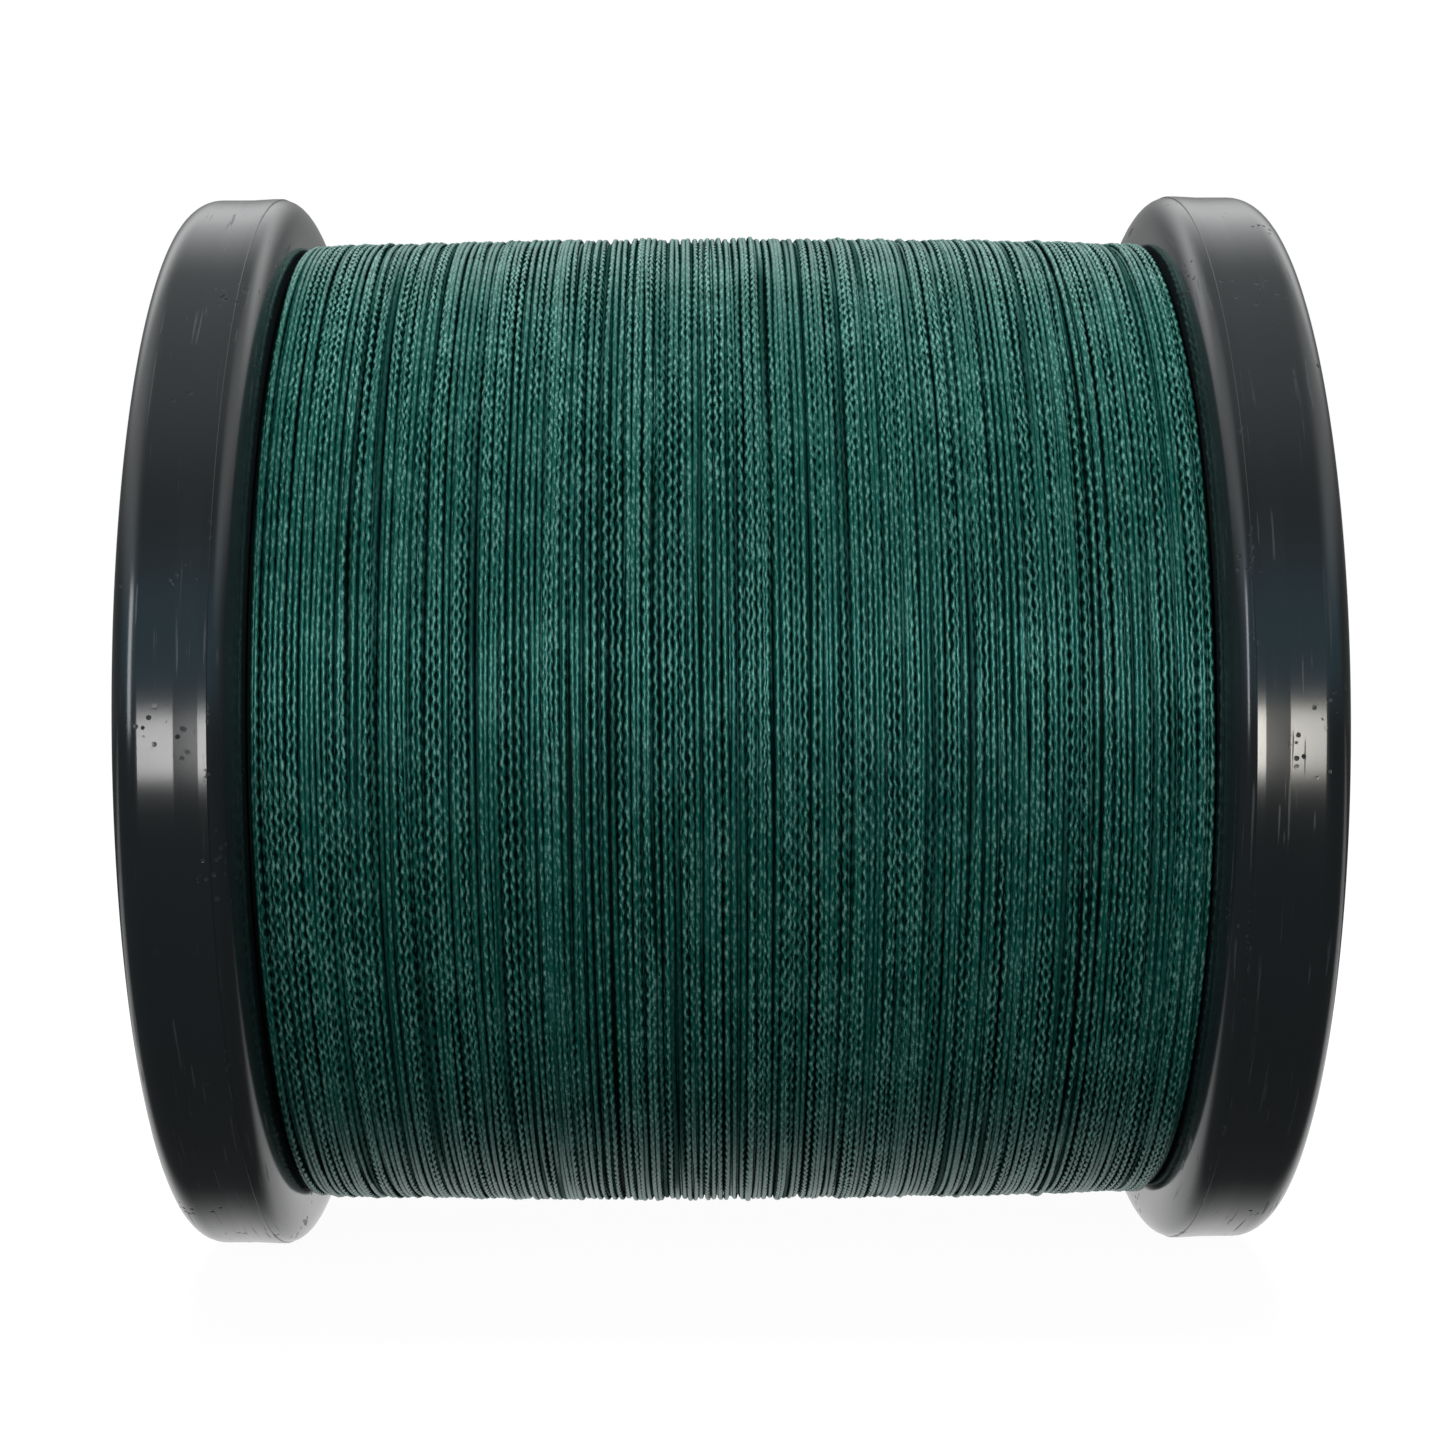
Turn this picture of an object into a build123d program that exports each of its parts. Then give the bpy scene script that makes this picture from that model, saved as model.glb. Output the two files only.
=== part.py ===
from build123d import *
import math
import os

# Bulk fishing line spool: two moulded flanges pressed on a core tube, wound full of braided line.
# The spool's axis is X, +Z is up, and the origin is on the axis, halfway between the flanges.
# The spool lies on its two rims, so its lowest point is at minus the rim's radius. Millimetres.

# Driving dimensions.
rim_radius = 52.0
overall_width = 103.2
winding_width = 82.0  # between the flanges' inner faces
core_radius = 22.0
bore_radius = 6.0

# Flange moulding.
web_thickness = 2.6
skirt_thickness = 3.6
outer_corner = 2.5
inner_corner_width = 2.3
inner_corner_height = 4.5
parting_step = 0.12  # the parting line stands this far below the rim's face
skirt_draft = 0.4
lip_edge = 0.5  # leaves a flat ring on the lip, which the spool stands on when it is set on end
label_ridge_height = 0.5
label_ridge_width = 1.0
label_ridge_gap = 0.2

# Hub: a spigot inside the core tube, a bore collar, and the spokes that join them.
core_wall = 2.0
seat_depth = 1.2
seat_clearance = 0.1
spigot_clearance = 0.05
spigot_wall = 2.4
spigot_length = 10.0
collar_wall = 2.5
collar_length = 18.0
spoke_count = 6
spoke_thickness = 1.8
spoke_depth = 9.0
spoke_overlap = 0.6
mouth_chamfer = 0.8

# Winding.
winding_gap = 0.1  # between the line pack and each flange
winding_inner_radius = core_radius + 0.15
winding_edge_radius = 47.45
winding_middle_radius = 48.1
winding_shoulder = 1.2

# Labels and tapes.
label_thickness = 0.2
label_inner_radius = 24.0
label_outer_radius = 46.4
tape_thickness = 0.1
start_tape_width = 12.0
start_tape_arc = 48.0  # degrees round the core
end_tape_width = 14.0
end_tape_arc = 26.0
end_tape_middle = -23.0  # along the axis
end_tape_angle = 20.0  # above the level of the axis, on the far side
end_tape_lift = 0.05

# Worked out from those.
face_in = winding_width / 2
face_out = overall_width / 2
web_out = face_in + web_thickness
parting_at = face_in + inner_corner_width
skirt_radius = rim_radius - skirt_thickness
spigot_radius = core_radius - core_wall - spigot_clearance
spigot_bore = spigot_radius - spigot_wall
collar_radius = bore_radius + collar_wall
quarter_turn = 90
full_turn = 360


def ring(inner, outer, start, end):
    """A tube on the X axis, from start to end."""
    length = end - start
    tube = Cylinder(outer, length) - Cylinder(inner, 2 * length)
    return Pos((start + end) / 2, 0, 0) * Rot(0, quarter_turn, 0) * tube


def flange_shell():
    """The web with its rolled rim and its spigot: one profile turned about the axis."""
    corner_top = rim_radius - parting_step
    corner_foot = corner_top - inner_corner_height
    seat_floor = face_in + seat_depth
    seat_radius = core_radius + seat_clearance
    spigot_end = face_in - spigot_length
    winding_side = [
        Polyline(
            (web_out, spigot_bore),
            (spigot_end, spigot_bore),
            (spigot_end, spigot_radius),
            (seat_floor, spigot_radius),
            (seat_floor, seat_radius),
            (face_in, seat_radius),
            (face_in, corner_foot),
        ),
        EllipticalCenterArc(
            (parting_at, corner_foot),
            inner_corner_width,
            inner_corner_height,
            start_angle=quarter_turn,
            arc_size=quarter_turn,
        ),
        Polyline(
            (parting_at, corner_top),
            (parting_at, rim_radius),
            (face_out - outer_corner, rim_radius),
        ),
    ]
    ridge_foot = label_outer_radius + label_ridge_gap
    ridge_top = web_out + label_ridge_height
    label_side = [
        RadiusArc(
            (face_out - outer_corner, rim_radius),
            (face_out, rim_radius - outer_corner),
            outer_corner,
        ),
        Polyline(
            (face_out, rim_radius - outer_corner),
            (face_out, skirt_radius + lip_edge),
            (face_out - lip_edge, skirt_radius),
            (web_out, skirt_radius - skirt_draft),
            (web_out, ridge_foot + label_ridge_width),
            (ridge_top, ridge_foot + label_ridge_width),
            (ridge_top, ridge_foot),
            (web_out, ridge_foot),
            (web_out, spigot_bore),
        ),
    ]
    section = Plane.XZ * make_face(winding_side + label_side)
    return revolve(section, Axis.X, full_turn)


def hub():
    """The bore collar and its spokes, which reach out to the spigot."""
    collar = ring(bore_radius, collar_radius, web_out - collar_length, web_out)
    spoke_length = spigot_bore - collar_radius + 2 * spoke_overlap
    spoke_middle = collar_radius - spoke_overlap + spoke_length / 2
    spoke = Pos(web_out - spoke_depth / 2, 0, spoke_middle) * Box(spoke_depth, spoke_thickness, spoke_length)
    for number in range(spoke_count):
        collar += Rot(number * full_turn / spoke_count, 0, 0) * spoke
    return collar


def flange():
    """One flange, on the +X side."""
    body = flange_shell() + hub()
    mouth = body.edges().filter_by(GeomType.CIRCLE).filter_by(
        lambda edge: abs(edge.radius - bore_radius) < 0.01 and edge.center().X > web_out - 0.01
    )
    return chamfer(mouth, mouth_chamfer)


def core_tube():
    """The tube that the line is wound on, seated in a groove in each flange."""
    reach = face_in + seat_depth - seat_clearance
    return ring(core_radius - core_wall, core_radius, -reach, reach)


def line_winding():
    """The pack of wound line, slightly fuller in the middle."""
    end = face_in - winding_gap
    profile = [
        Line((-end, winding_inner_radius), (-end, winding_edge_radius)),
        ThreePointArc((-end, winding_edge_radius), (0, winding_middle_radius), (end, winding_edge_radius)),
        Line((end, winding_edge_radius), (end, winding_inner_radius)),
        Line((end, winding_inner_radius), (-end, winding_inner_radius)),
    ]
    pack = revolve(Plane.XZ * make_face(profile), Axis.X, full_turn)
    shoulders = pack.edges().filter_by(GeomType.CIRCLE).filter_by(
        lambda edge: abs(edge.radius - winding_edge_radius) < 0.01
    )
    return fillet(shoulders, winding_shoulder)


def patch(inner, middle, width, arc, angle):
    """A strip of tape bent round the axis; its middle is at angle above +Y."""
    corners = make_face(
        Polyline(
            (middle - width / 2, inner),
            (middle + width / 2, inner),
            (middle + width / 2, inner + tape_thickness),
            (middle - width / 2, inner + tape_thickness),
            close=True,
        )
    )
    strip = revolve(Plane.XZ * corners, Axis.X, arc)
    # The strip starts at +Z and turns towards -Y, so it is turned back to straddle +Y.
    return Rot(angle - quarter_turn - arc / 2, 0, 0) * strip


def label():
    """A paper ring stuck on the web, inside the rim, on the +X side."""
    return ring(label_inner_radius, label_outer_radius, web_out, web_out + label_thickness)


def winding_radius_at(along):
    """The radius of the winding's crowned face, from the arc through its ends and middle."""
    end = face_in - winding_gap
    rise = winding_middle_radius - winding_edge_radius
    crown = (end**2 + rise**2) / (2 * rise)
    return winding_middle_radius - crown + math.sqrt(crown**2 - along**2)


def main():
    os.makedirs("parts", exist_ok=True)
    other_side = Rot(0, 0, full_turn / 2)
    right_flange = flange()
    right_label = label()
    end_tape_radius = winding_radius_at(end_tape_middle + end_tape_width / 2) + end_tape_lift
    parts = {
        "right_flange": right_flange,
        "left_flange": other_side * right_flange,
        "core_tube": core_tube(),
        "line_winding": line_winding(),
        "line_start_tape": patch(core_radius, 0, start_tape_width, start_tape_arc, 0),
        "line_end_tape": patch(
            end_tape_radius, end_tape_middle, end_tape_width, end_tape_arc, end_tape_angle
        ),
        "right_label": right_label,
        "left_label": other_side * right_label,
    }
    for name, shape in parts.items():
        export_step(shape, f"parts/{name}.step")


main()
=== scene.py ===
import math
import bpy
import numpy as np
from mathutils import Matrix, Vector


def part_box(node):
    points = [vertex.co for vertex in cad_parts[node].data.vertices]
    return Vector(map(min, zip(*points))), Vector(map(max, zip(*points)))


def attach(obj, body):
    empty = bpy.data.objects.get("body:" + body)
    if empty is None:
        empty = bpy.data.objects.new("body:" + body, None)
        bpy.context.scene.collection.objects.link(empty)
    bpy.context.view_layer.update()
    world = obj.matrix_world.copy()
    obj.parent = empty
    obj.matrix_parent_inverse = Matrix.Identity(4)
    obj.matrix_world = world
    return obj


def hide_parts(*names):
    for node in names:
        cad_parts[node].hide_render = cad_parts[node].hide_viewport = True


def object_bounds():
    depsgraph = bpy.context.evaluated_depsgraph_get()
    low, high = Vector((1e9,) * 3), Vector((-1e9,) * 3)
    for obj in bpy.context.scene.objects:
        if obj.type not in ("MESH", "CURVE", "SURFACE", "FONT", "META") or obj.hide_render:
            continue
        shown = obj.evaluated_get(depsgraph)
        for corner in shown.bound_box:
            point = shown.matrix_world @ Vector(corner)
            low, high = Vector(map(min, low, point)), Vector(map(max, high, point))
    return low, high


# A bulk spool of braided fishing line: two glossy flanges on a core tube, with the line wound between them.
# The spool's axis is X, and it lies on its two rims. All sizes are in metres.

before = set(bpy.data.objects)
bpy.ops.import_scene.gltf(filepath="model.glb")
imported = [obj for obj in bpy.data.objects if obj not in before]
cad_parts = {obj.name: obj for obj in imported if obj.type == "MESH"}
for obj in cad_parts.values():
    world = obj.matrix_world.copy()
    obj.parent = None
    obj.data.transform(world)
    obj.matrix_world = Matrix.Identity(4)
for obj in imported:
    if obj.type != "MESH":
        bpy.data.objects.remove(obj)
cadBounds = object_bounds()
mm = 0.001
turn = 2 * math.pi
flangeLow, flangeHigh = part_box("right_flange")
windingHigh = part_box("line_winding")[1]
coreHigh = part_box("core_tube")[1]
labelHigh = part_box("right_label")[1]
tapeLow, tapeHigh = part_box("line_end_tape")
print("frame loaded:", len(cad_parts), "parts")


class Wire:
    # one socket, so that sums on sockets read as sums
    def __init__(self, paint, socket):
        self.paint = paint
        self.socket = socket

    def work(self, operation, first, second=0.0):
        return self.paint.node("ShaderNodeMath", {"operation": operation}, {0: first, 1: second})

    def __add__(self, other):
        return self.work("ADD", self, other)

    def __radd__(self, other):
        return self.work("ADD", other, self)

    def __sub__(self, other):
        return self.work("SUBTRACT", self, other)

    def __rsub__(self, other):
        return self.work("SUBTRACT", other, self)

    def __mul__(self, other):
        return self.work("MULTIPLY", self, other)

    def __rmul__(self, other):
        return self.work("MULTIPLY", other, self)

    def __pow__(self, other):
        return self.work("POWER", self, other)

    def __abs__(self):
        return self.work("ABSOLUTE", self)

    def sine(self):
        return self.work("SINE", self)

    def above(self, limit):
        return self.work("GREATER_THAN", self, limit)

    def ease(self, start, end):
        # 0 before start, 1 after end, smooth between
        return self.paint.node(
            "ShaderNodeMapRange",
            {"interpolation_type": "SMOOTHSTEP"},
            {"Value": self, "From Min": start, "From Max": end},
        )


class Paint:
    # the node tree of one material or world
    def __init__(self, tree):
        self.tree = tree
        tree.nodes.clear()

    def node(self, kind, settings=None, sockets=None, output=0):
        made = self.tree.nodes.new(kind)
        for name, value in (settings or {}).items():
            setattr(made, name, value)
        for name, value in (sockets or {}).items():
            if isinstance(value, Wire):
                self.tree.links.new(value.socket, made.inputs[name])
            else:
                made.inputs[name].default_value = value
        return Wire(self, made.outputs[output]) if made.outputs else made

    def place(self):
        return self.node("ShaderNodeTexCoord", output="Object")

    def split(self, vector):
        return [self.node("ShaderNodeSeparateXYZ", {}, {0: vector}, output=axis) for axis in "XYZ"]

    def grain(self, vector, scale, detail=2.0, roughness=0.5):
        return self.node(
            "ShaderNodeTexNoise",
            {},
            {"Vector": vector, "Scale": scale, "Detail": detail, "Roughness": roughness},
        )

    def stretch(self, vector, scale, turned=(0.0, 0.0, 0.0)):
        return self.node("ShaderNodeMapping", {}, {"Vector": vector, "Scale": scale, "Rotation": turned})

    def attribute(self, name):
        return self.node("ShaderNodeAttribute", {"attribute_name": name}, {}, output="Fac")

    def blendColours(self, share, first, second):
        return self.node(
            "ShaderNodeMix",
            {"data_type": "RGBA", "blend_type": "MIX"},
            {0: share, 6: self.colour(first), 7: self.colour(second)},
            output=2,
        )

    def colour(self, value):
        return value if isinstance(value, Wire) else (*value, 1)

    def bump(self, height, distance, strength):
        return self.node(
            "ShaderNodeBump", {}, {"Height": height, "Distance": distance, "Strength": strength}
        )


def newMaterial(name, sockets):
    # sockets is a function that is given the paint and returns the values of the shader's sockets
    material = bpy.data.materials.new(name)
    material.use_nodes = True
    paint = Paint(material.node_tree)
    values = sockets(paint)
    # a material can be given painted shade: where it lies, the surface turns to a dark shade colour and
    # does not shine
    creases = values.pop("creases", None)
    hollow = values.pop("hollow", None)
    shader = paint.node("ShaderNodeBsdfPrincipled", {}, values)
    if creases is not None:
        shadedDiffuse = paint.node("ShaderNodeBsdfDiffuse", {}, {"Color": (*hollow, 1)})
        shader = paint.node("ShaderNodeMixShader", {}, {0: creases, 1: shader, 2: shadedDiffuse})
    paint.node("ShaderNodeOutputMaterial", {}, {"Surface": shader})
    return material


flangeFinish = {
    "colour": (0.0115, 0.0148, 0.0163),
    "scuffColour": (0.045, 0.050, 0.054),
    "roughness": 0.17,
    "ior": 1.5,
    "hazeRoughness": 0.08,
    "scuffRoughness": 0.25,
    "nickRoughness": 0.3,
    "pitRoughness": 0.7,
    "grainDepth": 0.004 * mm,
    "grainStrength": 0.6,
    # how far each mark stands out, in grain depths
    "fineHeight": 0.25,
    "swellHeight": 6.0,
    "scuffHeight": 1.2,
    "pitHeight": 14.0,
    "nickHeight": 2.0,
    # noise scales, per metre
    "hazeScale": 90.0,
    "fineScale": 1400.0,
    "swellScale": 110.0,
    "scuffScale": (2600.0, 60.0, 60.0),
    "scratchScale": (2400.0, 110.0, 110.0),
    "scratchTurned": (0.5, 0.3, 0.75),  # radians
    "pittedScale": 150.0,
    "pitScale": 1150.0,
    "nickScale": 1300.0,
    "knockedScale": 120.0,
    "partingAt": 43.3 * mm,
    "nickReach": 0.40 * mm,  # how far the knocks spread from the parting edge
    "pittedSpots": ((-47.4 * mm, -52.0 * mm, -1.9 * mm), (48.2 * mm, -52.0 * mm, -2.9 * mm)),
    "spotRadius": 2.6 * mm,
    "spotFade": 1.7,  # a spot has gone at this many of its radii
}


def flangePlastic(paint):
    f = flangeFinish
    place = paint.place()
    across = paint.split(place)[0]
    haze = paint.grain(place, f["hazeScale"], 4.0, 0.6)
    fine = paint.grain(place, f["fineScale"], 3.0, 0.6)
    swell = paint.grain(place, f["swellScale"], 1.0, 0.4)
    # long scuffs run round the rim, and short scratches lie across them
    scuffs = paint.grain(paint.stretch(place, f["scuffScale"]), 1.0, 2.0, 0.5).ease(0.65, 0.72)
    scuffs = scuffs * haze.ease(0.42, 0.6)
    slanted = paint.stretch(place, f["scratchScale"], f["scratchTurned"])
    scratches = paint.grain(slanted, 1.0, 1.0, 0.5).ease(0.68, 0.72) * swell.ease(0.46, 0.56)
    marks = scuffs + scratches
    # small pits gather in patches here and there, and in one spot on the front of each rim
    pitted = paint.grain(place, f["pittedScale"], 0.0).ease(0.66, 0.70)
    spotRadius = f["spotRadius"]
    for spot in f["pittedSpots"]:
        away = paint.node(
            "ShaderNodeVectorMath", {"operation": "DISTANCE"}, {0: place, 1: spot}, output="Value"
        )
        pitted = pitted + (1 - (away + swell * spotRadius).ease(spotRadius, spotRadius * f["spotFade"]))
    cells = paint.node("ShaderNodeTexVoronoi", {}, {"Vector": place, "Scale": f["pitScale"]})
    pits = (1 - (cells + fine * 0.14).ease(0.26, 0.34)) * pitted * haze.ease(0.42, 0.5)
    # the parting edge has been knocked against things
    fromEdge = abs(abs(across) - f["partingAt"])
    nicks = paint.grain(place, f["nickScale"], 2.0, 0.7).ease(0.58, 0.66)
    nicks = nicks * (1 - fromEdge.ease(0.0, f["nickReach"]))
    nicks = nicks * paint.grain(place, f["knockedScale"], 1.0).ease(0.52, 0.60)
    roughness = haze * f["hazeRoughness"] + marks * f["scuffRoughness"]
    roughness = roughness + nicks * f["nickRoughness"] + pits * f["pitRoughness"] + f["roughness"]
    height = fine * f["fineHeight"] + swell * f["swellHeight"] - marks * f["scuffHeight"]
    height = height - pits * f["pitHeight"] - nicks * f["nickHeight"]
    return {
        "Base Color": paint.blendColours(marks * 0.6 + nicks * 0.35, f["colour"], f["scuffColour"]),
        "Roughness": roughness - f["hazeRoughness"] / 2,
        "IOR": f["ior"],
        "Normal": paint.bump(height, f["grainDepth"], f["grainStrength"]),
    }


coreFinish = {
    "colour": (0.010, 0.011, 0.012),
    "worn": (0.02, 0.021, 0.022),
    "roughness": 0.34,
    "lineRoughness": 0.18,
    "lineScale": (8.0, 900.0, 900.0),
    "mottleScale": 160.0,
    "lineDepth": 0.02 * mm,
}


def corePlastic(paint):
    f = coreFinish
    place = paint.place()
    # die lines run along the tube
    lines = paint.grain(paint.stretch(place, f["lineScale"]), 1.0, 2.0)
    mottle = paint.grain(place, f["mottleScale"], 3.0)
    return {
        "Base Color": paint.blendColours(mottle * 0.5, f["colour"], f["worn"]),
        "Roughness": lines * f["lineRoughness"] + f["roughness"] - f["lineRoughness"] / 2,
        "Normal": paint.bump(lines, f["lineDepth"], 0.5),
    }


lineFinish = {
    # colours: painted shade for the folds, the line's own green body, and a painted highlight for the
    # middle of each line
    "creaseShadeColour": (0.0002, 0.0062, 0.0048),
    "body": (0.0012, 0.0640, 0.0490),
    "crestHighlight": (0.1250, 0.3050, 0.2600),
    "specular": 0.26,
    "specularTint": (0.35, 1.0, 0.92),
    "roughness": 0.36,
    "fibreRoughness": 0.2,
    "creaseRoughness": 0.40,
    "sway": 0.36,  # how far the crest wanders to each side, as a share of the line's half width
    "swayLeast": 0.35,  # of that, in the turns that lie straightest
    "swayMore": 1.1,
    "fibreAcross": 3000.0,  # per metre
    "fibreAlong": 1.7,  # per beat of the braid
    "patchScale": 230.0,
    "columnScale": (900.0, 26.0, 26.0),
    "fibreSlip": 0.7,  # in beats, how far the fibres and the patches put the braid out of step
    "patchSlip": 0.8,
    "fleckLight": 1.30,
    "fleckLeast": 0.04,
    "creaseShadeDepth": 0.96,
    "reliefDepth": 0.035 * mm,
    "reliefStrength": 0.85,
}


def braidedLine(paint):
    f = lineFinish
    along = paint.attribute("along")
    side = paint.attribute("side")
    toneAndLight = paint.attribute("toneAndLight")
    place = paint.place()
    across = paint.split(place)[0]
    # fibres: short and narrow, lying along the line
    fibrePlace = paint.node(
        "ShaderNodeCombineXYZ",
        {},
        {0: across * f["fibreAcross"], 1: along * f["fibreAlong"] + side * 0.5},
    )
    flecks = paint.grain(fibrePlace, 1.0, 2.0, 0.6)
    patches = paint.grain(place, f["patchScale"], 2.0, 0.5)
    # some turns keep their look for a long way round, so this pattern is drawn out round the spool
    columns = paint.grain(paint.stretch(place, f["columnScale"]), 1.0, 2.0, 0.6)
    slip = along + flecks * f["fibreSlip"] + patches * f["patchSlip"]
    wandering = columns.ease(0.40, 0.62) * f["swayMore"] + f["swayLeast"]
    sway = (slip * turn).sine() * wandering * f["sway"]
    # across the line: a painted highlight down the middle, the line's body, and painted shade on the flanks
    offCentre = abs(side - sway)
    filled = patches.ease(0.46, 0.62) * 0.26
    crestHighlight = 1 - offCentre.ease(filled + 0.16, filled + 0.62)
    flankShade = offCentre.ease(filled + 0.66, filled + 0.92)
    # strands cross from side to side, so the two sides' lobes are half a beat apart
    lobes = ((slip + (1 - side.ease(-0.2, 0.2)) * 0.5 + abs(side) * 0.45) * turn).sine() * 0.5 + 0.5
    lobes = lobes.ease(0.05, 0.60)
    crossings = ((slip * 2.0 + 0.75) * turn).sine() * 0.5 + 0.5
    # painted light: raised turns lighter and the lower pass darker, times a random variation along columns
    light = (toneAndLight * 0.9 + 0.3) * (columns.ease(0.3, 0.7) * 0.7 + 0.6)
    strands = (lobes * 0.6 + 0.4) * (crossings.ease(0.05, 0.6) * 0.6 + 0.4)
    # the painted highlight's share, broken up by the braid's lobes and fibres
    shade = crestHighlight * strands * (flecks.ease(0.44, 0.56) * f["fleckLight"] + f["fleckLeast"]) * light
    lit = paint.blendColours(shade, f["body"], f["crestHighlight"])
    # painted shade: dark spots between the lobes, and low-lying turns darker all over
    dotShade = offCentre.ease(0.52, 0.78) * (1 - lobes) * (columns.ease(0.40, 0.60) * 0.5 + 0.5)
    creaseShade = 1 - (1 - flankShade) * (1 - dotShade * 0.9)
    sunkShade = 1 - (1 - creaseShade * 0.97) * (toneAndLight.ease(0.0, 0.24) * 0.6 + 0.4)
    height = crestHighlight * 0.8 + lobes * 0.5 + flecks * 0.8
    return {
        "Base Color": lit,
        "creases": sunkShade * f["creaseShadeDepth"],
        "hollow": f["creaseShadeColour"],
        "Specular IOR Level": f["specular"],
        "Specular Tint": (*f["specularTint"], 1),
        "Roughness": flecks * f["fibreRoughness"] + sunkShade * f["creaseRoughness"]
        + (f["roughness"] - f["fibreRoughness"] / 2),
        "Normal": paint.bump(height, f["reliefDepth"], f["reliefStrength"]),
    }


# the pack under the turns is painted near-black, as painted shade
packShadeFinish = {
    "colour": (0.0002, 0.0025, 0.0020),
    "streak": (0.001, 0.012, 0.010),
    "specular": 0.04,
    "roughness": 0.6,
    "streakRoughness": 0.2,
    "streakScale": (1900.0, 30.0, 30.0),
    "streakDepth": 0.15 * mm,
}


def packedLine(paint):
    f = packShadeFinish
    streaks = paint.grain(paint.stretch(paint.place(), f["streakScale"]), 1.0, 2.0)
    return {
        "Base Color": paint.blendColours(streaks.ease(0.45, 0.7), f["colour"], f["streak"]),
        "Specular IOR Level": f["specular"],
        "Roughness": streaks * f["streakRoughness"] + f["roughness"],
        "Normal": paint.bump(streaks, f["streakDepth"], 0.6),
    }


tapeFinish = {
    "colour": (0.72, 0.71, 0.66),
    "worn": (0.55, 0.53, 0.47),
    "roughness": 0.20,
    "cloudRoughness": 0.25,
    "cloudScale": 260.0,
    "ribScale": (1500.0, 120.0, 120.0),
    "ribDepth": 0.03 * mm,
}


def stickyTape(paint):
    f = tapeFinish
    place = paint.place()
    cloud = paint.grain(place, f["cloudScale"], 4.0, 0.6)
    ribs = paint.grain(paint.stretch(place, f["ribScale"]), 1.0, 2.0)
    return {
        "Base Color": paint.blendColours(cloud.ease(0.35, 0.7), f["colour"], f["worn"]),
        "Roughness": cloud * f["cloudRoughness"] + f["roughness"],
        "Normal": paint.bump(ribs * 0.6 + cloud, f["ribDepth"], 0.5),
    }


labelFinish = {
    "paper": (0.80, 0.80, 0.77),
    "stained": (0.66, 0.65, 0.60),
    "band": (0.012, 0.090, 0.075),
    "line": (0.055, 0.060, 0.062),
    "bandInside": 40.6 * mm,
    "bandOutside": 44.8 * mm,
    "ruleRadii": (27.0 * mm, 38.4 * mm, 39.4 * mm),
    "ruleWidth": 0.35 * mm,
    "inkCreep": 0.12 * mm,
    "roughness": 0.36,
    "fibreRoughness": 0.2,
    "inkGloss": 0.08,
    "fibreScale": 900.0,
    "blotchScale": 45.0,
    "fibreDepth": 0.02 * mm,
}


def printedPaper(paint):
    f = labelFinish
    place = paint.place()
    across, away, up = paint.split(place)
    fibres = paint.grain(place, f["fibreScale"], 5.0, 0.65)
    blotches = paint.grain(place, f["blotchScale"], 3.0)
    # the ink's edge creeps along the fibres
    radius = (away * away + up * up) ** 0.5 + (fibres - 0.5) * f["inkCreep"]
    inked = radius.above(f["bandInside"]) * (1 - radius.above(f["bandOutside"]))
    rules = 0.0
    for ruleRadius in f["ruleRadii"]:
        rules = rules + (1 - abs(radius - ruleRadius).above(f["ruleWidth"] / 2))
    paper = paint.blendColours(blotches.ease(0.4, 0.75) * 0.35, f["paper"], f["stained"])
    printed = paint.blendColours(inked * (fibres * 0.1 + 0.93), paper, f["band"])
    return {
        "Base Color": paint.blendColours(rules * 0.9, printed, f["line"]),
        "Roughness": fibres * f["fibreRoughness"] + f["roughness"] - inked * f["inkGloss"],
        "Normal": paint.bump(fibres, f["fibreDepth"], 0.5),
    }


flangeBlack = newMaterial("flange_black", flangePlastic)
coreBlack = newMaterial("core_black", corePlastic)
lineGreen = newMaterial("line_green", braidedLine)
packShadedGreen = newMaterial("pack_shaded_green", packedLine)
tapeMilky = newMaterial("tape_milky", stickyTape)
labelPaper = newMaterial("label_paper", printedPaper)
print("finishes mixed")


def clearSelection():
    if bpy.context.object and bpy.context.object.mode == "EDIT":
        bpy.ops.object.mode_set(mode="OBJECT")
    bpy.ops.object.select_all(action="DESELECT")


def turnedPiece(name, outline, steps):
    # a ring is drawn out from one outline point to the next, and the last ring is joined to the first
    clearSelection()
    startX, startRadius = outline[0]
    bpy.ops.mesh.primitive_circle_add(
        vertices=steps, radius=startRadius, location=(startX, 0, 0), rotation=(0, math.pi / 2, 0)
    )
    piece = bpy.context.object
    piece.name = name
    bpy.ops.object.transform_apply()
    bpy.ops.object.mode_set(mode="EDIT")
    bpy.ops.mesh.select_all(action="SELECT")
    for (oldX, oldRadius), (newX, newRadius) in zip(outline, outline[1:]):
        widen = newRadius / oldRadius
        bpy.ops.mesh.extrude_region_move(TRANSFORM_OT_translate={"value": (newX - oldX, 0, 0)})
        bpy.ops.transform.resize(value=(1, widen, widen), center_override=(0, 0, 0))
    bpy.ops.mesh.select_all(action="DESELECT")
    bpy.ops.mesh.select_non_manifold()
    bpy.ops.mesh.bridge_edge_loops()
    bpy.ops.mesh.select_all(action="SELECT")
    bpy.ops.mesh.normals_make_consistent(inside=False)
    bpy.ops.object.mode_set(mode="OBJECT")
    return piece


def corner(centreX, centreRadius, width, height, fromAngle, toAngle, points):
    # points along an elliptical corner, angles measured from the axis direction
    angles = [math.radians(fromAngle + (toAngle - fromAngle) * k / (points - 1)) for k in range(points)]
    return [(centreX + width * math.cos(a), centreRadius + height * math.sin(a)) for a in angles]


def copyPiece(source, name, matrix):
    clearSelection()
    copy = source.copy()
    copy.data = source.data.copy()
    copy.name = name
    bpy.context.scene.collection.objects.link(copy)
    copy.data.transform(matrix)
    return copy


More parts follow.
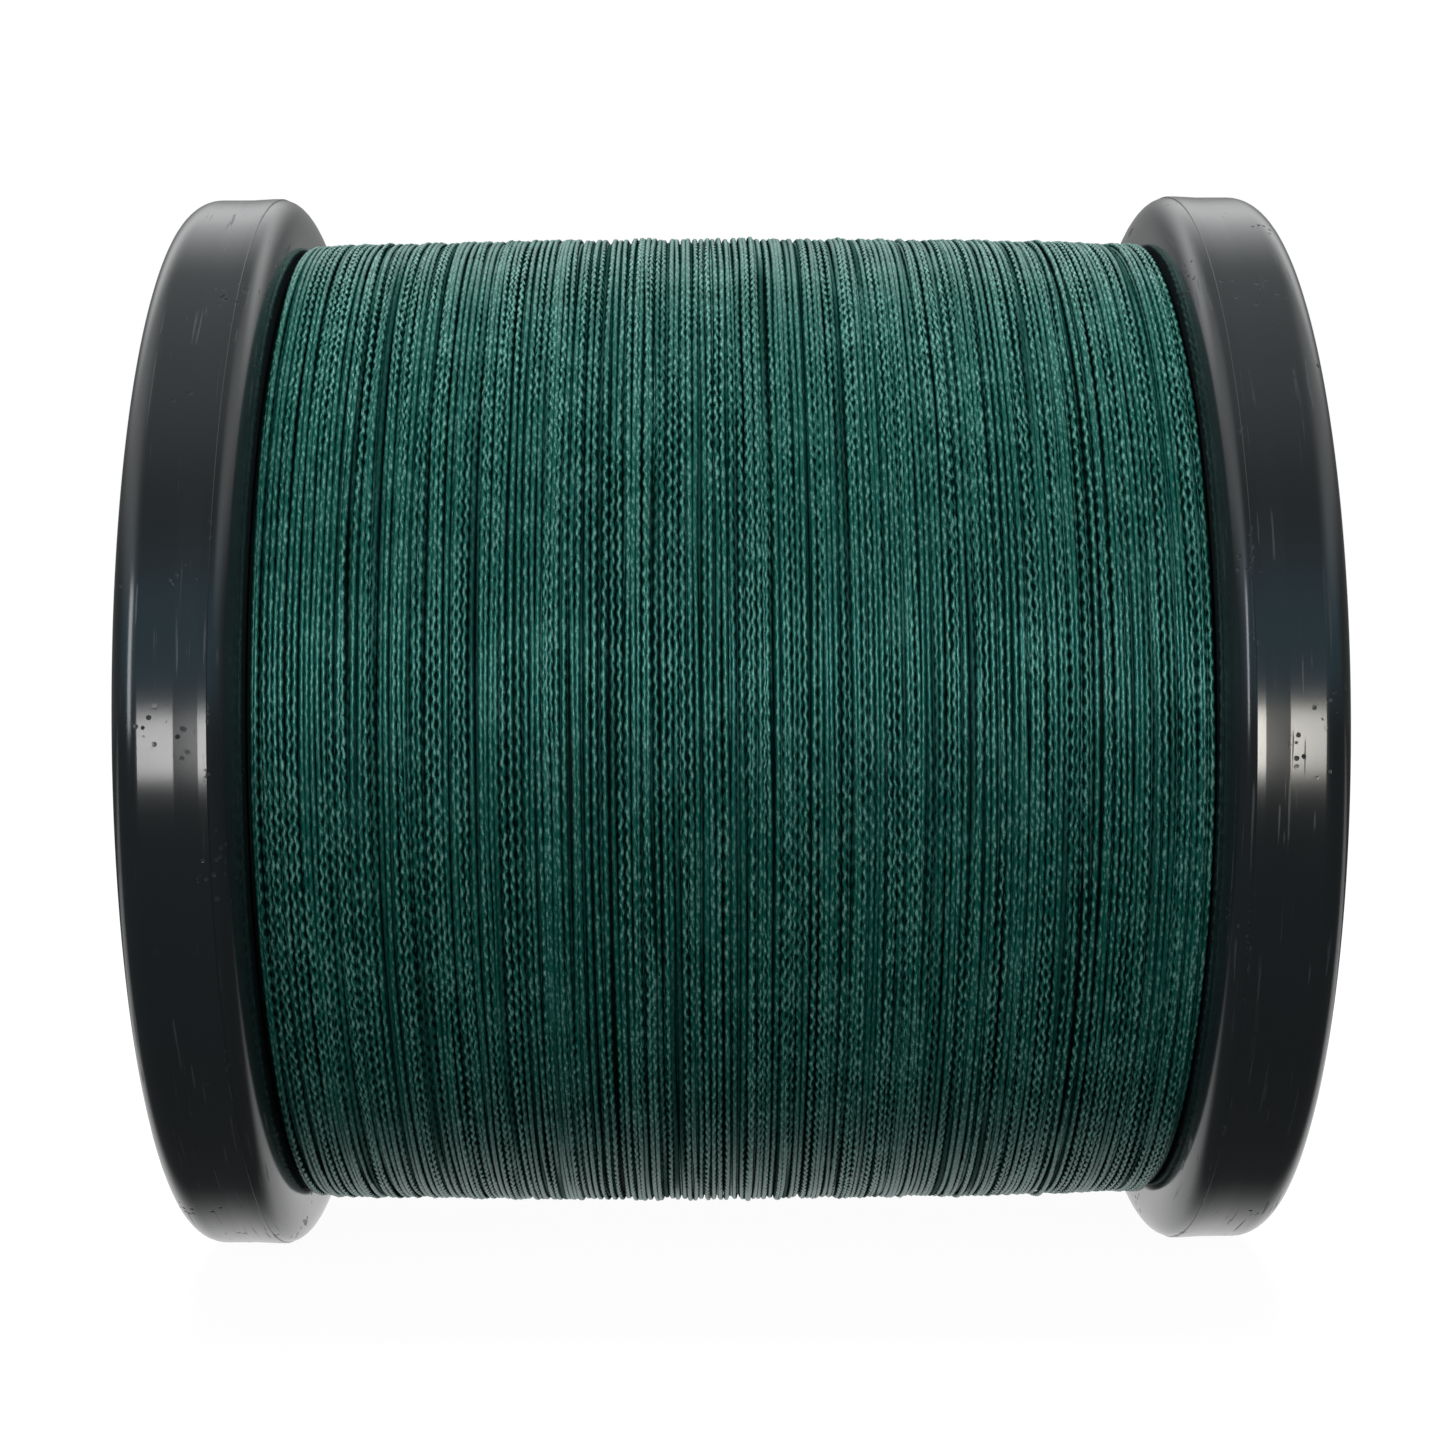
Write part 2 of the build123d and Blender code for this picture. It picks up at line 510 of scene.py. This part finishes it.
def joinPieces(pieces):
    clearSelection()
    for piece in pieces:
        piece.select_set(True)
    bpy.context.view_layer.objects.active = pieces[0]
    bpy.ops.object.join()
    return pieces[0]


def finishPiece(piece, material, smoothAngle, replaced=()):
    clearSelection()
    piece.select_set(True)
    bpy.context.view_layer.objects.active = piece
    bpy.ops.object.shade_smooth_by_angle(angle=math.radians(smoothAngle))
    piece.data.materials.clear()
    piece.data.materials.append(material)
    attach(piece, "root")
    if replaced:
        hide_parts(*replaced)


flangeShape = {
    "webThickness": 2.6 * mm,
    "skirtThickness": 3.6 * mm,
    "outerCorner": 2.5 * mm,
    "innerCornerWidth": 2.3 * mm,
    "innerCornerHeight": 4.5 * mm,
    "partingStep": 0.12 * mm,
    "innerLand": 0.75 * mm,
    "slopeWidth": 2.05 * mm,
    "slopeDrop": 0.115 * mm,  # the wide outer land is this far below the narrow inner one
    "support": 0.05 * mm,  # rings beside each change of slope keep one band's shine out of the next
    "lipEdge": 0.5 * mm,
    "skirtDraft": 0.4 * mm,
    "ridgeHeight": 0.5 * mm,
    "ridgeWidth": 1.0 * mm,
    "ridgeGap": 0.2 * mm,
    "webLand": 3.0 * mm,  # flat part of the web below the rolled corner
    # rounded foot of the skirt: distances out from the web and in from the skirt
    "skirtFoot": ((1.0 * mm, 0.0), (0.3 * mm, 0.12 * mm), (0.0, 0.3 * mm)),
    "seatDepth": 1.2 * mm,
    "seatClearance": 0.1 * mm,
    "windingGap": 0.1 * mm,
    "coreWall": 2.0 * mm,
    "spigotWall": 2.4 * mm,
    "spigotClearance": 0.05 * mm,
    "smallEdge": 0.15 * mm,
    "steps": 288,
    "cornerPoints": 12,
    "smooth": 35,  # degrees
}
hubShape = {
    "bore": 6.0 * mm,
    "wall": 2.5 * mm,
    "length": 18.0 * mm,
    "mouth": 0.8 * mm,
    "spokes": 6,
    "spokeThickness": 1.8 * mm,
    "spokeDepth": 9.0 * mm,
    "spokeInset": 0.2 * mm,
    "spokeOverlap": 1.2 * mm,  # both ends together
    "spokeEdge": 0.25 * mm,
    "steps": 96,
}


def flangeOutline():
    s = flangeShape
    rim = flangeHigh.z
    faceOut = flangeHigh.x
    faceIn = windingHigh.x + s["windingGap"]
    webOut = faceIn + s["webThickness"]
    spigotEnd = flangeLow.x
    coreRadius = coreHigh.z
    spigotRadius = coreRadius - s["coreWall"] - s["spigotClearance"]
    spigotBore = spigotRadius - s["spigotWall"]
    partingAt = faceIn + s["innerCornerWidth"]
    cornerFoot = rim - s["partingStep"] - s["innerCornerHeight"]
    skirt = rim - s["skirtThickness"]
    ridgeFoot = labelHigh.z + s["ridgeGap"]
    e = s["smallEdge"]
    outline = [
        (webOut, spigotBore + e),
        (webOut - e, spigotBore),
        (spigotEnd + e, spigotBore),
        (spigotEnd, spigotBore + e),
        (spigotEnd, spigotRadius - 3 * e),
        (spigotEnd + 3 * e, spigotRadius),
        (faceIn + s["seatDepth"], spigotRadius),
        (faceIn + s["seatDepth"], coreRadius + s["seatClearance"]),
        (faceIn, coreRadius + s["seatClearance"]),
        (faceIn, cornerFoot - s["webLand"]),
    ]
    # rolled inner corner, then the moulding's parting edge
    outline += corner(
        partingAt, cornerFoot, s["innerCornerWidth"], s["innerCornerHeight"], 180, 90, s["cornerPoints"]
    )
    outline += [(partingAt, rim - e / 3), (partingAt + e / 3, rim)]
    # the face: a narrow land, a gentle slope where the wall has shrunk, and a wide land
    slopeStart = partingAt + s["innerLand"]
    slopeEnd = slopeStart + s["slopeWidth"]
    faceEnd = faceOut - s["outerCorner"]
    support = s["support"]
    drop = s["slopeDrop"]
    slope = drop / s["slopeWidth"]
    outline += [
        (slopeStart - support, rim),
        (slopeStart, rim - support * slope / 4),
        (slopeStart + support, rim - support * slope),
        (slopeEnd - support, rim - drop + support * slope),
        (slopeEnd, rim - drop + support * slope / 4),
        (slopeEnd + support, rim - drop),
        (faceEnd - support, rim - drop),
    ]
    outline += corner(
        faceEnd, rim - s["outerCorner"], s["outerCorner"], s["outerCorner"] - drop, 90, 0, s["cornerPoints"]
    )
    outline += [(faceOut, skirt + s["lipEdge"]), (faceOut - s["lipEdge"], skirt)]
    for out, down in s["skirtFoot"]:
        outline.append((webOut + out, skirt - s["skirtDraft"] - down))
    ridgeTop = webOut + s["ridgeHeight"]
    outline += [
        (webOut, ridgeFoot + s["ridgeWidth"]),
        (ridgeTop - e, ridgeFoot + s["ridgeWidth"]),
        (ridgeTop, ridgeFoot + s["ridgeWidth"] - e),
        (ridgeTop, ridgeFoot + e),
        (ridgeTop - e, ridgeFoot),
        (webOut, ridgeFoot),
    ]
    return outline, webOut, spigotBore


def makeFlange():
    outline, webOut, spigotBore = flangeOutline()
    shell = turnedPiece("right_flange_moulding", outline, flangeShape["steps"])
    h = hubShape
    outer = h["bore"] + h["wall"]
    collarEnd = webOut - h["length"]
    e = flangeShape["smallEdge"]
    collar = turnedPiece(
        "collar",
        [
            (webOut, h["bore"] + h["mouth"]),
            (webOut - h["mouth"], h["bore"]),
            (collarEnd + e, h["bore"]),
            (collarEnd, h["bore"] + e),
            (collarEnd, outer - 2 * e),
            (collarEnd + 2 * e, outer),
            (webOut - e, outer),
            (webOut, outer - e),
        ],
        h["steps"],
    )
    reach = spigotBore - outer + h["spokeOverlap"]
    clearSelection()
    bpy.ops.mesh.primitive_cube_add(
        size=1,
        location=(webOut - h["spokeDepth"] / 2, 0, (spigotBore + outer) / 2),
        scale=(h["spokeDepth"] - h["spokeInset"], h["spokeThickness"], reach),
    )
    spoke = bpy.context.object
    spoke.name = "spoke"
    bpy.ops.object.transform_apply()
    bpy.ops.object.mode_set(mode="EDIT")
    bpy.ops.mesh.select_all(action="SELECT")
    bpy.ops.mesh.bevel(offset=h["spokeEdge"], segments=3)
    bpy.ops.object.mode_set(mode="OBJECT")
    spokes = [spoke]
    for k in range(1, h["spokes"]):
        spokes.append(copyPiece(spoke, "spoke", Matrix.Rotation(turn * k / h["spokes"], 4, "X")))
    return joinPieces([shell, collar] + spokes)


rightFlange = makeFlange()
leftFlange = copyPiece(rightFlange, "left_flange_moulding", Matrix.Rotation(math.pi, 4, "Z"))
finishPiece(rightFlange, flangeBlack, flangeShape["smooth"], ["right_flange"])
finishPiece(leftFlange, flangeBlack, flangeShape["smooth"], ["left_flange"])
print("flanges turned:", len(rightFlange.data.polygons), "faces each")


coreShape = {"wall": 2.0 * mm, "edge": 0.3 * mm, "steps": 160, "smooth": 35}


def makeCore():
    end = coreHigh.x
    outer = coreHigh.z
    inner = outer - coreShape["wall"]
    e = coreShape["edge"]
    outline = [
        (-end, inner + e),
        (-end, outer - e),
        (-end + e, outer),
        (end - e, outer),
        (end, outer - e),
        (end, inner + e),
        (end - e, inner),
        (-end + e, inner),
    ]
    return turnedPiece("core_tube_wall", outline, coreShape["steps"])


coreTube = makeCore()
finishPiece(coreTube, coreBlack, coreShape["smooth"], ["core_tube"])
print("core tube turned")


windingShape = {
    "edgeRadius": 47.45 * mm,
    "shoulder": 1.2 * mm,
    "lineRadius": 0.27 * mm,
    "pitch": 0.49 * mm,
    "pitchUnevenness": 0.19,
    "gapShare": 0.32,  # of the turns leave a gap beside them
    "widestGap": 0.34 * mm,
    "lowerDepth": 0.36 * mm,
    "baseDepth": 0.80 * mm,
    "slowWander": 0.085 * mm,
    "quickWander": 0.065 * mm,
    "slowRise": 0.05 * mm,
    "quickRise": 0.03 * mm,
    "turnRise": 0.055 * mm,
    "sunkShare": 0.09,
    "sunkBy": 0.13 * mm,
    "proudShare": 0.08,
    "proudBy": 0.14 * mm,
    "upperPoints": 100,  # round each turn
    "lowerPoints": 84,
    "braidPeriod": 1.38 * mm,
    "beatWander": 0.35,  # of a beat
    "endGap": 0.03 * mm,
    # painted shade: the lower pass is painted darker than the upper pass
    "lowerShadedTone": 0.12,
    "upperLitTone": 0.5,
    "toneSpread": 0.20,
    "lightByRise": 0.50,
    "baseFoot": 0.15 * mm,  # above the core
    "baseEdge": 0.3 * mm,
    "baseStations": 25,
    "baseSteps": 192,
    "baseSmooth": 35,  # degrees
    "lineSmooth": 80,
    "mostTurns": 400,
    "seed": 11,
}


def packRadius(x):
    # outside of the pack: a long crown with rounded shoulders at the flanges
    s = windingShape
    end = windingHigh.x
    rise = windingHigh.z - s["edgeRadius"]
    crown = (end**2 + rise**2) / (2 * rise)
    radius = windingHigh.z - crown + np.sqrt(crown**2 - np.square(x))
    into = np.clip(np.abs(x) - (end - s["shoulder"]), 0, s["shoulder"])
    return radius - s["shoulder"] + np.sqrt(s["shoulder"] ** 2 - into**2)


def smoothNoise(random, count, spacing):
    # a smooth random walk round zero, with a new value about every so many points
    knots = random.normal(size=int(count / spacing) + 4)
    place = np.arange(count) / spacing
    low = place.astype(int)
    share = place - low
    share = share * share * (3 - 2 * share)
    return knots[low] * (1 - share) + knots[low + 1] * share


def turnStarts(random, reach):
    # where each turn begins along the axis: mostly snug, with a gap now and then
    s = windingShape
    most = s["mostTurns"]
    spaces = s["pitch"] * (1 + s["pitchUnevenness"] * random.normal(size=most))
    gaps = s["widestGap"] * random.random(most) ** 1.6
    spaces = np.clip(spaces, 0.6 * s["pitch"], None) + gaps * (random.random(most) < s["gapShare"])
    starts = np.cumsum(spaces)
    starts = starts[starts < 2 * reach]
    return (starts - starts[0]) / (starts[-1] - starts[0]) * 2 * reach - reach


def turnHeights(random, count):
    # some turns have sunk between their neighbours, and some have been pushed up
    s = windingShape
    chance = random.random(count)
    heights = s["turnRise"] * np.clip(random.normal(size=count), -1.6, 1.6)
    heights = heights - s["sunkBy"] * (chance < s["sunkShare"])
    return heights + s["proudBy"] * (chance > 1 - s["proudShare"])


def windPass(name, starts, heights, points, direction, toneAndLight, random):
    # one pass of line from end to end, with the given number of points round each turn
    s = windingShape
    count = (len(starts) - 1) * points
    turns = np.arange(count) / points
    whole = np.arange(len(starts))
    angle = direction * turns * turn
    x = np.interp(turns, whole, starts)
    x = x + s["slowWander"] * smoothNoise(random, count, points * 0.45)
    x = x + s["quickWander"] * smoothNoise(random, count, points * 0.04)
    limit = windingHigh.x - s["lineRadius"] - s["endGap"]
    x = np.clip(x, -limit, limit)
    rise = np.interp(turns, whole, heights)
    rise = rise + s["slowRise"] * np.clip(smoothNoise(random, count, points * 0.3), -1.5, 1.0)
    rise = rise + s["quickRise"] * smoothNoise(random, count, points * 0.035)
    radius = packRadius(x) - s["lineRadius"] + rise
    path = np.stack([x, radius * np.cos(angle), radius * np.sin(angle)], 1)
    # the line itself, as a curve with a round section
    curve = bpy.data.curves.new(name, "CURVE")
    curve.dimensions = "3D"
    curve.bevel_depth = s["lineRadius"]
    curve.bevel_resolution = 1
    curve.use_fill_caps = True
    spline = curve.splines.new("POLY")
    spline.points.add(count - 1)
    spline.points.foreach_set("co", np.c_[path, np.ones(count)].astype(np.float32).ravel())
    clearSelection()
    piece = bpy.data.objects.new(name, curve)
    bpy.context.scene.collection.objects.link(piece)
    piece.select_set(True)
    bpy.context.view_layer.objects.active = piece
    bpy.ops.object.convert(target="MESH")
    piece = bpy.context.object
    mesh = piece.data
    sides = len(mesh.vertices) // count
    spots = np.zeros(len(mesh.vertices) * 3, np.float32)
    mesh.vertices.foreach_get("co", spots)
    spots = spots.reshape(-1, 3)
    ring = np.minimum(np.arange(len(spots)) // sides, count - 1)
    length = np.cumsum(np.r_[0, np.linalg.norm(np.diff(path, axis=0), axis=1)])
    # the braid's beat slips a little from turn to turn
    along = length / s["braidPeriod"] + s["beatWander"] * smoothNoise(random, count, points * 0.8)
    # painted light: turns that stick up are painted lighter than the low-lying ones
    tonesAndLight = toneAndLight + s["toneSpread"] * smoothNoise(random, count, points * 0.12)
    tonesAndLight = tonesAndLight + s["lightByRise"] * (rise - heights.mean()) / s["lineRadius"]
    for title, values in (
        ("along", along[ring]),
        ("side", (spots[:, 0] - path[ring, 0]) / s["lineRadius"]),
        ("toneAndLight", np.clip(tonesAndLight, 0, 1)[ring]),
    ):
        attribute = mesh.attributes.new(title, "FLOAT", "POINT")
        attribute.data.foreach_set("value", values.astype(np.float32))
    finishPiece(piece, lineGreen, s["lineSmooth"])
    return length[-1]


def makeWinding():
    s = windingShape
    random = np.random.default_rng(s["seed"])
    end = windingHigh.x
    reach = end - s["lineRadius"] - s["endGap"]
    # the under-surface, painted near-black as the shade between the turns
    stations = np.linspace(-end + s["shoulder"], end - s["shoulder"], s["baseStations"])
    depth = s["baseDepth"]
    foot = coreHigh.z + s["baseFoot"]
    edge = end - s["baseEdge"]
    outline = [(-end, foot), (-end, packRadius(-edge) - depth)]
    outline += [(x, packRadius(x) - depth) for x in stations]
    outline += [(end, packRadius(edge) - depth), (end, foot)]
    base = turnedPiece("winding_base", outline, s["baseSteps"])
    finishPiece(base, packShadedGreen, s["baseSmooth"], ["line_winding"])
    # the lower pass runs one way and the upper pass runs back over it
    lowerStarts = turnStarts(random, reach)
    lowerHeights = turnHeights(random, len(lowerStarts)) * 0.5 - s["lowerDepth"]
    length = windPass(
        "line_pass_lower", lowerStarts, lowerHeights, s["lowerPoints"], 1, s["lowerShadedTone"], random
    )
    upperStarts = -turnStarts(random, reach)
    upperHeights = turnHeights(random, len(upperStarts))
    length += windPass(
        "line_pass_upper", upperStarts, upperHeights, s["upperPoints"], -1, s["upperLitTone"], random
    )
    print("line wound:", len(lowerStarts), "and", len(upperStarts), "turns,", round(length, 1), "m shown")


makeWinding()


tapeShape = {
    "thickness": 0.1 * mm,
    "lift": 0.12 * mm,
    "ripple": 0.05 * mm,
    "rippleEvery": 0.62 * mm,
    "middle": 20.0,  # degrees above the level of the axis, on the far side
    "arc": 26.0,
    "across": 60,
    "round": 60,
    "smooth": 50,
}


def makeTape():
    s = tapeShape
    width = tapeHigh.x - tapeLow.x
    middle = (tapeHigh.x + tapeLow.x) / 2
    radius = float(packRadius(tapeHigh.x)) + s["lift"]
    firstAngle = math.radians(s["middle"] - s["arc"] / 2)
    arc = math.radians(s["arc"])
    clearSelection()
    bpy.ops.mesh.primitive_grid_add(x_subdivisions=s["across"], y_subdivisions=s["round"], size=1)
    tape = bpy.context.object
    tape.name = "end_tape_strip"
    for vertex in tape.data.vertices:
        u, v = vertex.co.x, vertex.co.y
        angle = firstAngle + arc * (v + 0.5)
        # ripples over the turns of line, and slower waves along the strip
        wave = math.sin(u * width / s["rippleEvery"] * turn) * 0.4 + math.sin(v * 23 + u * 5) * 0.6
        reach = radius + s["ripple"] * wave * 0.5
        vertex.co = Vector((middle + u * width, reach * math.cos(angle), reach * math.sin(angle)))
    solid = tape.modifiers.new("thickness", "SOLIDIFY")
    solid.thickness = s["thickness"]
    solid.offset = 1
    bpy.ops.object.modifier_apply(modifier="thickness")
    finishPiece(tape, tapeMilky, s["smooth"], ["line_end_tape"])


makeTape()
print("end tape stuck down")

# these keep the CAD's own meshes
for name, material in (
    ("right_label", labelPaper),
    ("left_label", labelPaper),
    ("line_start_tape", tapeMilky),
):
    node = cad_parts[name]
    for place in node.material_slots:
        place.material = material


floorLook = {
    "size": 6.0,
    "seenColour": (0.07, 0.07, 0.07),
    "seenRoughness": 0.8,
    "seenNear": (0.96, 0.96, 0.96),
    "seenFar": (1.0, 1.0, 1.0),
    "nearReach": 0.10,
    "farReach": 0.35,
    "mirroredFront": 0.09,
    "mirroredBack": 0.95,
    "mirroredFrom": -26.0 * mm,
    "mirroredTo": -13.0 * mm,
    "mirroredFades": 40.0 * mm,
    "mirroredGone": 120.0 * mm,
    "bouncedFront": 0.13,
    "bouncedBack": 0.45,
    "bouncedFrom": -45.0 * mm,
    "bouncedTo": -12.0 * mm,
}


def makeFloor():
    f = floorLook
    clearSelection()
    bpy.ops.mesh.primitive_plane_add(size=f["size"], location=(0, 0, cadBounds[0].z))
    floor = bpy.context.object
    floor.name = "studio_floor"
    material = bpy.data.materials.new("floor_pale")
    material.use_nodes = True
    paint = Paint(material.node_tree)
    place = paint.place()
    away = paint.split(place)[1]
    reach = paint.node("ShaderNodeVectorMath", {"operation": "LENGTH"}, {0: place}, output="Value")
    glow = paint.blendColours(reach.ease(f["nearReach"], f["farReach"]), f["seenNear"], f["seenFar"])
    seen = paint.node(
        "ShaderNodeBsdfPrincipled",
        {},
        {
            "Base Color": (*f["seenColour"], 1),
            "Roughness": f["seenRoughness"],
            "Specular IOR Level": 0.0,
            "Emission Color": glow,
            "Emission Strength": 1.0,
        },
    )
    # a dim studio in front of the spool, and a bright table under and behind it
    mirrored = away.ease(f["mirroredFrom"], f["mirroredTo"]) * (f["mirroredBack"] - f["mirroredFront"])
    mirrored = mirrored * (1 - away.ease(f["mirroredFades"], f["mirroredGone"]))
    bounced = away.ease(f["bouncedFrom"], f["bouncedTo"]) * (f["bouncedBack"] - f["bouncedFront"])
    toDiffuse = paint.node("ShaderNodeLightPath", output="Is Diffuse Ray")
    mirrored = (mirrored + f["mirroredFront"]) * (1 - toDiffuse)
    bounced = (bounced + f["bouncedFront"]) * toDiffuse
    unseen = paint.node("ShaderNodeEmission", {}, {"Strength": mirrored + bounced})
    direct = paint.node("ShaderNodeLightPath", output="Is Camera Ray")
    mixed = paint.node("ShaderNodeMixShader", {}, {0: direct, 1: unseen, 2: seen})
    paint.node("ShaderNodeOutputMaterial", {}, {"Surface": mixed})
    floor.data.materials.append(material)


skyLook = {
    "mirrored": 0.17,
    "mirroredOverhead": 0.33,
    "mirroredBehind": 1.5,
    "mirroredBeside": 0.2,
    "mirroredAloft": 1.1,
    "mirroredBand": 0.50,
    "bandColour": (0.22, 0.70, 1.0),
    "diffuse": 0.24,
    "diffuseBeside": 0.5,
}


def makeSky():
    f = skyLook
    world = bpy.data.worlds.new("studio")
    bpy.context.scene.world = world
    world.use_nodes = True
    paint = Paint(world.node_tree)
    across, away, up = paint.split(paint.node("ShaderNodeTexCoord", output="Generated"))
    overhead = up.ease(0.70, 0.97) * f["mirroredOverhead"]
    behind = away.ease(0.3, 0.75) * up.ease(0.3, 0.65) * f["mirroredBehind"]
    beside = away.ease(0.80, 1.0) * f["mirroredBeside"]
    aloft = abs(across).ease(0.25, 0.75) * up.ease(0.2, 0.6) * f["mirroredAloft"]
    # a cool strip of daylight in front of the spool, a little above it
    band = up.ease(-0.02, 0.16) * (1 - up.ease(0.34, 0.66)) * (1 - away.ease(-0.5, 0.0)) * f["mirroredBand"]
    direct = paint.node("ShaderNodeLightPath", output="Is Camera Ray")
    toDiffuse = paint.node("ShaderNodeLightPath", output="Is Diffuse Ray")
    soft = abs(across).ease(0.6, 1.0) * f["diffuseBeside"] + f["diffuse"]
    mirrored = overhead + behind + beside + aloft + f["mirrored"]
    plain = mirrored * (1 - toDiffuse) + toDiffuse * soft
    plain = plain * (1 - direct) + direct
    cool = band * (1 - direct) * (1 - toDiffuse)
    neutralGlow = paint.node("ShaderNodeBackground", {}, {"Color": (1, 1, 1, 1), "Strength": plain})
    coolGlow = paint.node("ShaderNodeBackground", {}, {"Color": (*f["bandColour"], 1), "Strength": cool})
    both = paint.node("ShaderNodeAddShader", {}, {0: neutralGlow, 1: coolGlow})
    paint.node("ShaderNodeOutputWorld", {}, {"Surface": both})


# radiance is what the lamp's face shows; spared names the rays it is left out of, and keptTo the pieces
# that it is kept to
lamps = [
    {
        "name": "tall_window",
        "place": (0.0, -0.60, 0.125),
        "target": (0.0, 0.0, 0.0),
        "size": (0.20, 0.33),
        "radiance": 5.6,
        "colour": (1.0, 1.0, 1.0),
        "spared": "glossy",
        "keptTo": None,
    },
    {
        "name": "window_glint",
        "place": (0.0, -0.60, 0.115),
        "target": (0.0, 0.0, 0.0),
        "size": (0.30, 0.24),
        "radiance": 26.0,
        "colour": (1.0, 1.0, 1.0),
        "spared": "diffuse",
        "keptTo": ("winding_base", "line_pass_lower", "line_pass_upper"),
    },
    {
        "name": "left_strip",
        "place": (-0.394, -0.481, 0.12),
        "target": (-0.045, -0.045, 0.0),
        "size": (0.12, 0.28),
        "radiance": 7.5,
        "colour": (0.96, 0.98, 1.0),
        "spared": None,
        "keptTo": None,
    },
    {
        "name": "left_card",
        "place": (-0.078, -0.24, -0.019),
        "target": (-0.078, 0.0, -0.019),
        "size": (0.030, 0.049),
        "radiance": 16.0,
        "colour": (1.0, 0.985, 0.98),
        "spared": "diffuse",
        "keptTo": ("left_flange_moulding",),
    },
    {
        "name": "right_card",
        "place": (0.078, -0.24, -0.019),
        "target": (0.078, 0.0, -0.019),
        "size": (0.030, 0.049),
        "radiance": 25.0,
        "colour": (1.0, 0.965, 0.89),
        "spared": "diffuse",
        "keptTo": ("right_flange_moulding",),
    },
    {
        "name": "overhead",
        "place": (0.0, 0.13, 0.75),
        "target": (0.0, 0.0, 0.0),
        "size": (0.6, 0.4),
        "radiance": 11.5,
        "colour": (1.0, 1.0, 1.0),
        "spared": "glossy",
        "keptTo": None,
    },
]


def makeLamps():
    for setting in lamps:
        width, height = setting["size"]
        lamp = bpy.data.lights.new(setting["name"], "AREA")
        lamp.shape = "RECTANGLE"
        lamp.size = width
        lamp.size_y = height
        lamp.energy = setting["radiance"] * math.pi * width * height
        lamp.color = setting["colour"]
        holder = bpy.data.objects.new(setting["name"], lamp)
        bpy.context.scene.collection.objects.link(holder)
        aim = Vector(setting["target"]) - Vector(setting["place"])
        holder.location = setting["place"]
        holder.rotation_euler = aim.to_track_quat("-Z", "Y").to_euler()
        holder.visible_camera = False
        holder.visible_diffuse = setting["spared"] != "diffuse"
        holder.visible_glossy = setting["spared"] != "glossy"
        if setting["keptTo"]:
            lit = bpy.data.collections.new(setting["name"] + "_lights")
            for piece in setting["keptTo"]:
                lit.objects.link(bpy.data.objects[piece])
            holder.light_linking.receiver_collection = lit


cameraLook = {
    "distance": 0.2756,
    "lens": 67.6,
    "sensor": 36.0,
    "nearest": 0.01,
    "farthest": 20.0,
    "swing": -0.0092,  # radians round the spool, from straight in front
    "roll": 0.0048,
    "shiftX": -0.0031,
    "shiftY": -0.0024,
}


def makeCamera():
    camera = bpy.data.cameras.new("camera")
    camera.lens = cameraLook["lens"]
    camera.sensor_width = cameraLook["sensor"]
    camera.shift_x = cameraLook["shiftX"]
    camera.shift_y = cameraLook["shiftY"]
    camera.clip_start = cameraLook["nearest"]
    camera.clip_end = cameraLook["farthest"]
    holder = bpy.data.objects.new("camera", camera)
    bpy.context.scene.collection.objects.link(holder)
    swing = cameraLook["swing"]
    distance = cameraLook["distance"]
    holder.location = (distance * math.sin(swing), -distance * math.cos(swing), 0)
    holder.rotation_euler = (math.pi / 2, cameraLook["roll"], swing)
    bpy.context.scene.camera = holder


makeFloor()
makeSky()
makeLamps()
makeCamera()
bpy.context.scene.view_settings.view_transform = "Standard"
print("stage lit")
